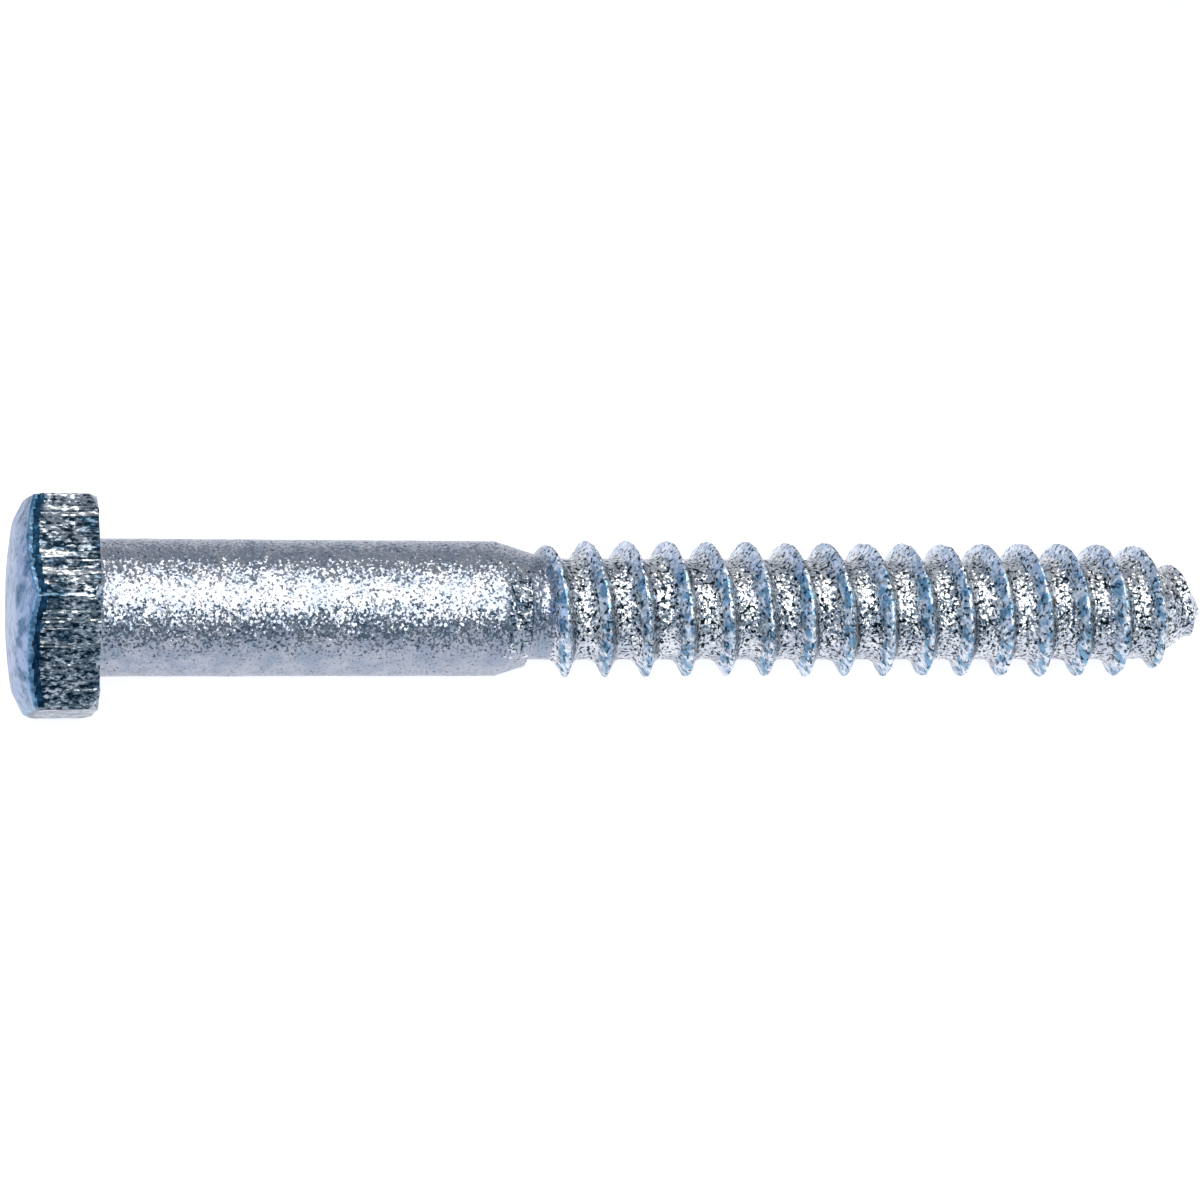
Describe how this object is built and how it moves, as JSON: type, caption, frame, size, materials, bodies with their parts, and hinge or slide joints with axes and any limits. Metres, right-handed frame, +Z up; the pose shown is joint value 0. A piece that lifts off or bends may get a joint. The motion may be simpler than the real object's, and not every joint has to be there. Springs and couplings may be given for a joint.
{
  "type": "lag screw",
  "caption": "Large hex lag screw with a domed head, a plain shank and a coarse right-hand wood thread that runs out on a gimlet point.",
  "frame": {"origin": "centre of the flat face under the head, on the screw's axis", "axes": "+X runs from the head towards the point, tipped 1.897 degrees down to the floor, +Z is up, and the screw lies at rest on one flat of its head and one thread crest"},
  "size_m": [0.1666, 0.0326, 0.0285],
  "materials": {
    "galvanised_steel": "hot-dip zinc coating, grainy and bright, with a faint blue cast"
  },
  "bodies": {
    "root": {"lag_screw": "galvanised_steel"}
  },
  "joints": []
}
